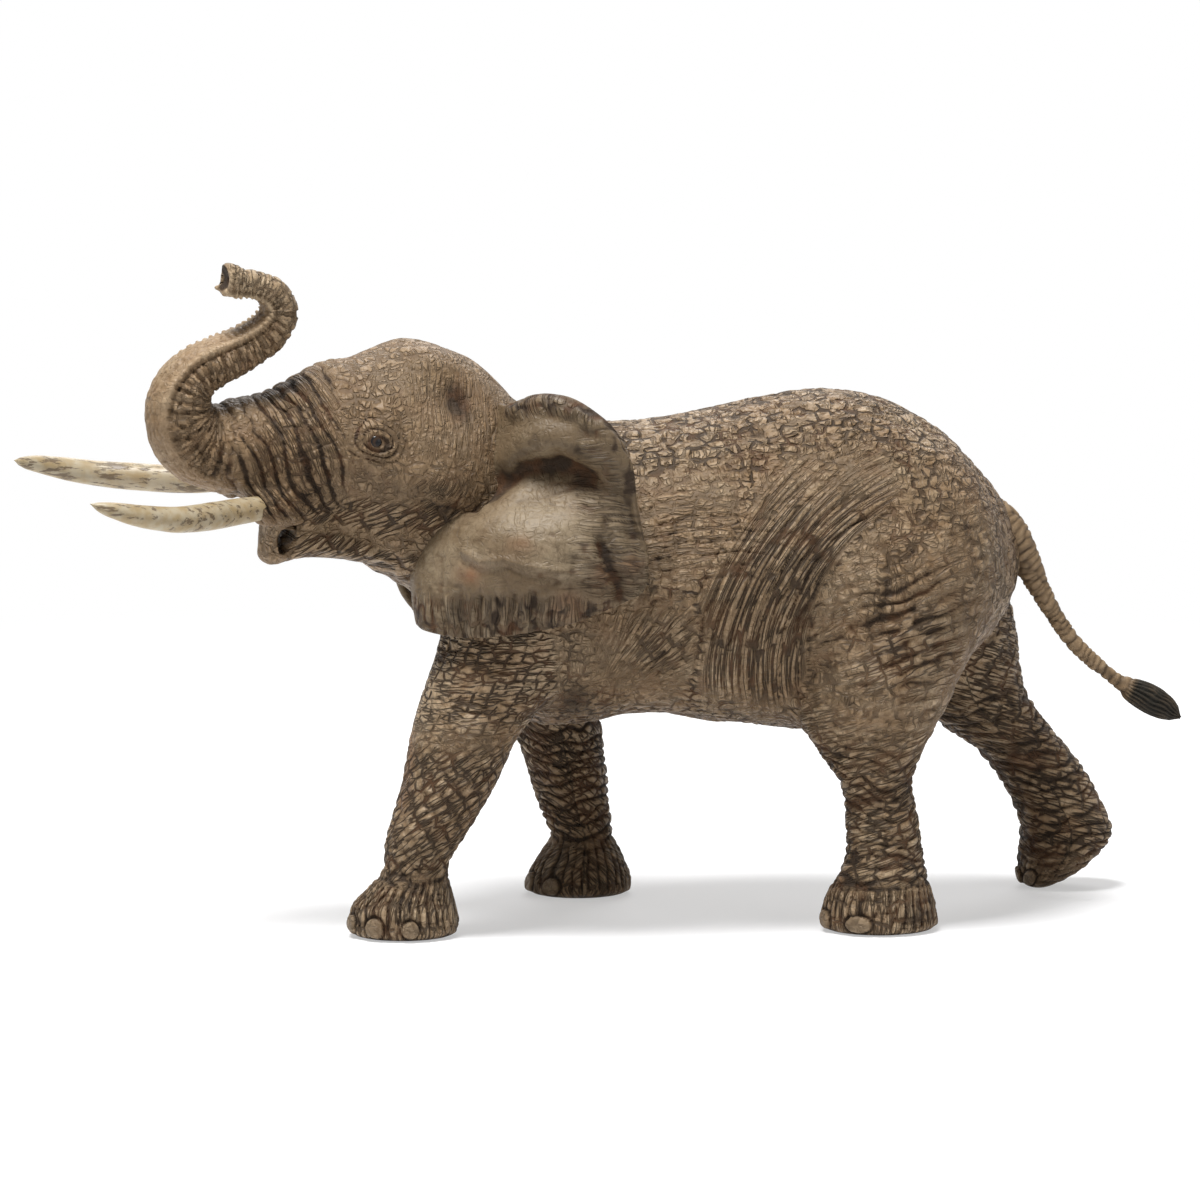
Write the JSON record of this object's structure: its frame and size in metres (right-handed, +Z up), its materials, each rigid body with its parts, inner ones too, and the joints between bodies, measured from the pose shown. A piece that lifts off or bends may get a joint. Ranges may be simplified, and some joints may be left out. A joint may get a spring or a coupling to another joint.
{
  "type": "toy elephant figure",
  "caption": "Moulded toy bull elephant in mid-stride, with raised curled trunk, long tusks, spread ears and open mouth, standing on its feet.",
  "frame": {"origin": "middle of the figure's bounding box in plan, on the plane that the feet stand on", "axes": "+X from the head towards the tail, +Y towards the animal's right side, +Z up"},
  "size_m": [0.2058, 0.081, 0.1179],
  "materials": {
    "elephant_skin": "painted grey-brown vinyl with a dark wash in the wrinkles",
    "ear_skin": "painted vinyl, paler than the body",
    "tail_skin": "painted vinyl with a dark grey-green tuft",
    "ivory": "satin cream with dark streaks along the tusk"
  },
  "bodies": {
    "root": {"body_left_shell": "elephant_skin", "body_right_shell": "elephant_skin", "head": "elephant_skin", "lower_jaw": "elephant_skin", "trunk": "elephant_skin", "left_tusk": "ivory", "right_tusk": "ivory", "left_ear": "ear_skin", "right_ear": "ear_skin", "front_left_leg": "elephant_skin", "front_right_leg": "elephant_skin", "hind_left_leg": "elephant_skin", "hind_right_leg": "elephant_skin", "tail": "tail_skin"}
  },
  "joints": []
}
